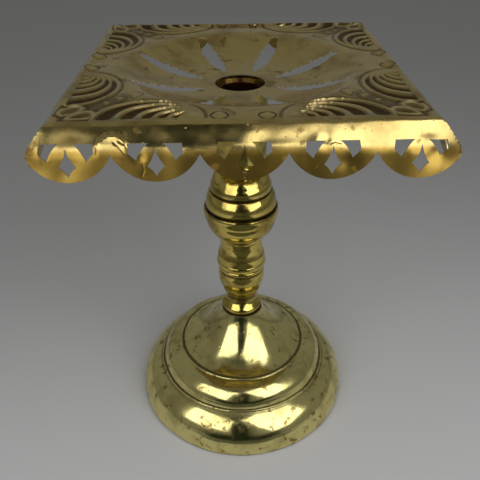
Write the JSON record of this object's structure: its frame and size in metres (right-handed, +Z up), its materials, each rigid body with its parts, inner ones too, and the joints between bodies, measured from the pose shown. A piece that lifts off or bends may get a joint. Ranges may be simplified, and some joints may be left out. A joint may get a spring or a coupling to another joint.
{
  "type": "pedestal candle stand",
  "caption": "Square pierced brass tray with a scalloped apron and a central candle socket, on a turned hollow column and a round stepped foot.",
  "frame": {"origin": "on the floor, at the axis of the column", "axes": "+Z up along the column, the tray's sides square to X and Y"},
  "size_m": [0.225, 0.225, 0.2894],
  "materials": {
    "tray_brass": "aged, rubbed bright on the raised work, brown in the recesses",
    "column_brass": "old polish, thin brown patina",
    "foot_brass": "old polish with dark pits and stains",
    "socket_brass": "brown, unpolished",
    "soft_solder": "dull grey run solder",
    "rod_iron": "dark oxidised iron"
  },
  "bodies": {
    "root": {"tray_sheet": "tray_brass", "corner_solder": "soft_solder", "neck_solder": "soft_solder", "candle_socket": "socket_brass", "neck_cup": "column_brass", "neck_bead_ring": "column_brass", "knop_upper": "column_brass", "knop_lower": "column_brass", "mid_baluster": "column_brass", "lower_vase": "column_brass", "foot_collar": "column_brass", "base_dome": "foot_brass", "rim_wire": "rod_iron", "base_washer": "rod_iron", "base_nut": "rod_iron", "cup_washer": "rod_iron", "cup_nut": "rod_iron", "tie_rod": "rod_iron"}
  },
  "joints": []
}
